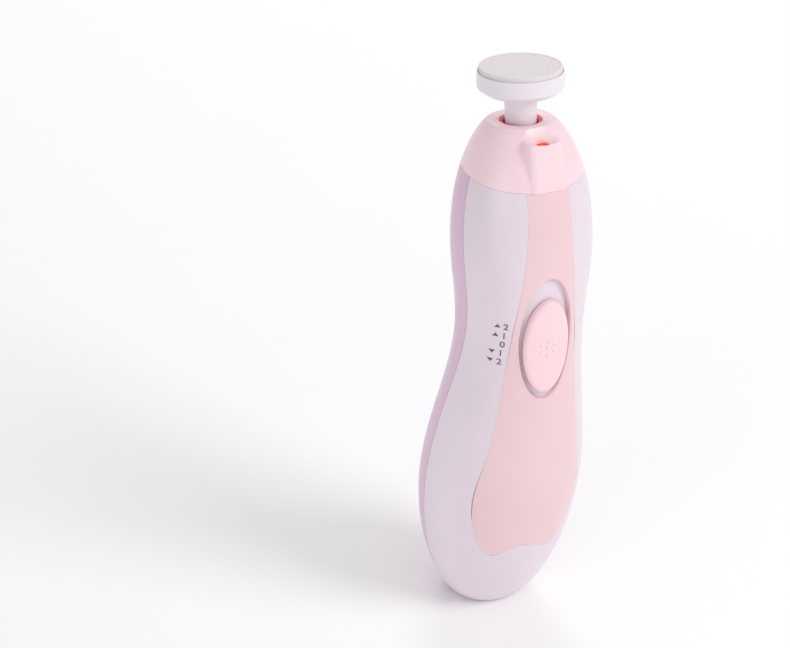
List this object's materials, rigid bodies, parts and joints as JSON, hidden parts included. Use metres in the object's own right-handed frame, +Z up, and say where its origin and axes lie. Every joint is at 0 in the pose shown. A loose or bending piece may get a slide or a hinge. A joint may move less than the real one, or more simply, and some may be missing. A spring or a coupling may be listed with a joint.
{
  "type": "electric nail and callus file",
  "caption": "Hand-held battery-powered rotary file: bent palm-sized handle with slide switch, inlaid front panel, work light and a small spinning disc head on a stem.",
  "frame": {"origin": "centre of the small flat at the handle's lower end", "axes": "+Z up the handle, -Y out of the switch side, +X to the right seen from the switch side; the drive shaft leans 13 degrees back towards +Y"},
  "size_m": [0.0396, 0.0407, 0.1455],
  "materials": {
    "front_shell": "glossy white",
    "rear_shell": "glossy pale lilac",
    "nose_cap": "glossy pale pink",
    "nose_liner": "deep pink rubber",
    "front_panel": "glossy pale pink",
    "switch_housing": "plated steel frame",
    "circuit_board": "green laminate",
    "board_components": "black moulded parts",
    "board_screws": "zinc plated",
    "battery_tray": "white moulding",
    "cell_left": "sleeved steel",
    "cell_right": "sleeved steel",
    "bridge_contact": "nickel plated",
    "bridge_spring": "nickel plated wire",
    "plus_contact": "nickel plated",
    "minus_contact": "nickel plated",
    "minus_spring": "nickel plated wire",
    "motor_can": "plated steel",
    "motor_end_bell": "white moulding",
    "motor_terminals": "tinned brass",
    "motor_magnets": "ferrite",
    "motor_bushings": "sintered bronze",
    "motor_bracket": "white moulding",
    "bracket_screws": "zinc plated",
    "motor_damper": "soft black rubber",
    "lamp": "tinted clear resin",
    "lamp_legs": "tinned",
    "case_screws": "zinc plated",
    "plus_lead": "red insulation",
    "minus_lead": "black insulation",
    "motor_lead_left": "red insulation",
    "motor_lead_right": "black insulation",
    "lamp_lead_left": "white insulation",
    "lamp_lead_right": "black insulation",
    "motor_shaft": "ground steel",
    "armature_core": "laminated steel",
    "armature_windings": "enamelled copper",
    "commutator": "copper",
    "drive_coupler": "natural acetal",
    "head_base": "glossy white",
    "sanding_pad": "fine white abrasive on felt",
    "thumb_button": "satin pale pink",
    "slider_carrier": "natural",
    "switch_lever": "black",
    "battery_door": "glossy pale lilac"
  },
  "bodies": {
    "handle": {"front_shell": "front_shell", "rear_shell": "rear_shell", "nose_cap": "nose_cap", "nose_liner": "nose_liner", "front_panel": "front_panel", "switch_housing": "switch_housing", "circuit_board": "circuit_board", "board_components": "board_components", "board_screws": "board_screws", "battery_tray": "battery_tray", "cell_left": "cell_left", "cell_right": "cell_right", "bridge_contact": "bridge_contact", "bridge_spring": "bridge_spring", "plus_contact": "plus_contact", "minus_contact": "minus_contact", "minus_spring": "minus_spring", "motor_can": "motor_can", "motor_end_bell": "motor_end_bell", "motor_terminals": "motor_terminals", "motor_magnets": "motor_magnets", "motor_bushings": "motor_bushings", "motor_bracket": "motor_bracket", "bracket_screws": "bracket_screws", "motor_damper": "motor_damper", "lamp": "lamp", "lamp_legs": "lamp_legs", "case_screws": "case_screws", "plus_lead": "plus_lead", "minus_lead": "minus_lead", "motor_lead_left": "motor_lead_left", "motor_lead_right": "motor_lead_right", "lamp_lead_left": "lamp_lead_left", "lamp_lead_right": "lamp_lead_right"},
    "rotor": {"motor_shaft": "motor_shaft", "armature_core": "armature_core", "armature_windings": "armature_windings", "commutator": "commutator", "drive_coupler": "drive_coupler"},
    "head": {"head_base": "head_base", "sanding_pad": "sanding_pad"},
    "slider": {"thumb_button": "thumb_button", "slider_carrier": "slider_carrier", "switch_lever": "switch_lever"},
    "door": {"battery_door": "battery_door"}
  },
  "joints": [
    {"name": "rotor_spin", "type": "hinge", "parent": "handle", "child": "rotor", "pos_m": [0, 0.00587, 0.10949], "axis": [0, 0.225, 0.9744], "continuous": true},
    {"name": "head_pull", "type": "slide", "parent": "rotor", "child": "head", "axis": [0, 0.225, 0.9744], "range_m": [0, 0.0105]},
    {"name": "switch_slide", "type": "slide", "parent": "handle", "child": "slider", "axis": [0, 0.102, 0.9948], "range_m": [-0.0017, 0.0051]},
    {"name": "door_swing", "type": "hinge", "parent": "handle", "child": "door", "pos_m": [0, 0.01507, 0.0104], "axis": [-1, 0, 0], "range_deg": [0, 65]}
  ]
}
